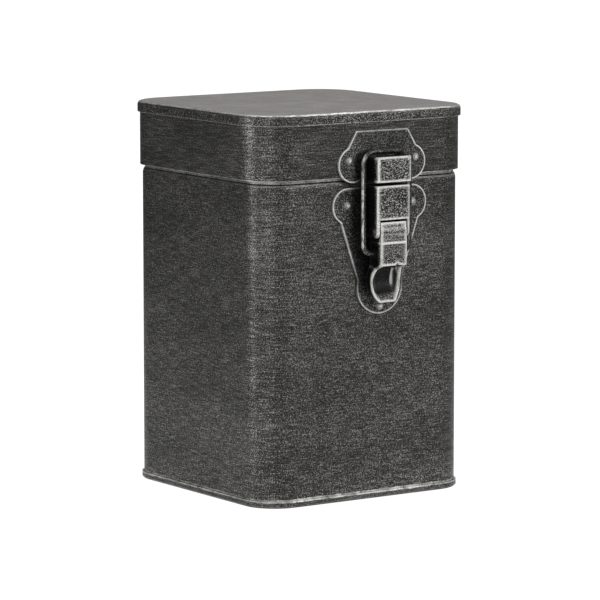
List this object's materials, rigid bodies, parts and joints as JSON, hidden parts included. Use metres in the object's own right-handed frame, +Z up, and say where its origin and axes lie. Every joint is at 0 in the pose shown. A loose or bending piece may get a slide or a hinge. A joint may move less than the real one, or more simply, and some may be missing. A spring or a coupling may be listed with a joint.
{
  "type": "latched metal storage box",
  "caption": "Square upright dark antiqued metal box with rounded corners, a rear-hinged lid and a riveted toggle latch with a wire bail and thumb scoop on the front.",
  "frame": {"origin": "centre of the underside of the bottom pan, which rests on the table", "axes": "+Z up; the latch is on the front face, which looks towards -Y; the lid hinge is at the back, +Y"},
  "size_m": [0.0946, 0.1049, 0.1413],
  "materials": {
    "antiqued_sheet": "dark antiqued with fine dry-brushed silver strokes",
    "lid_top_sheet": "dark antiqued, worn satin",
    "latch_plate": "dark antiqued with rubbed bright rims",
    "latch_metal": "dark antiqued with rubbed bright edges",
    "bail_wire": "dark antiqued wire, rubbed bright",
    "hinge_metal": "dark antiqued",
    "rivet_steel": "aged, rubbed bright on the domes"
  },
  "bodies": {
    "box": {"body_shell": "antiqued_sheet", "base_pan": "antiqued_sheet", "latch_base": "latch_plate", "latch_bracket": "latch_metal", "lever_pin": "rivet_steel", "hinge_body_leaf": "hinge_metal", "hinge_pin": "hinge_metal", "base_rivet_left": "rivet_steel", "base_rivet_right": "rivet_steel", "base_rivet_low": "rivet_steel", "hinge_body_rivet_left": "rivet_steel", "hinge_body_rivet_right": "rivet_steel"},
    "lid": {"lid_panel": "lid_top_sheet", "lid_skirt": "antiqued_sheet", "strike_plate": "latch_plate", "strike_hook": "latch_metal", "strike_rivet_left": "rivet_steel", "strike_rivet_right": "rivet_steel", "hinge_lid_leaf": "hinge_metal", "hinge_lid_rivet_left": "rivet_steel", "hinge_lid_rivet_right": "rivet_steel"},
    "lever": {"lever": "latch_metal"},
    "bail": {"bail": "bail_wire"}
  },
  "joints": [
    {"name": "lid_hinge", "type": "hinge", "parent": "box", "child": "lid", "pos_m": [0, 0.0482, 0.1178], "axis": [-1, 0, 0], "range_deg": [0, 180]},
    {"name": "lever_lift", "type": "hinge", "parent": "box", "child": "lever", "pos_m": [0.0043, -0.0514, 0.0982], "axis": [-1, 0, 0], "range_deg": [0, 100]},
    {"name": "bail_swing", "type": "hinge", "parent": "lever", "child": "bail", "pos_m": [0.0043, -0.0498, 0.0902], "axis": [-1, 0, 0], "range_deg": [-100, 0]}
  ],
  "couplings": [
    {"joint": "bail_swing", "follows": "lever_lift", "ratio": -1}
  ]
}
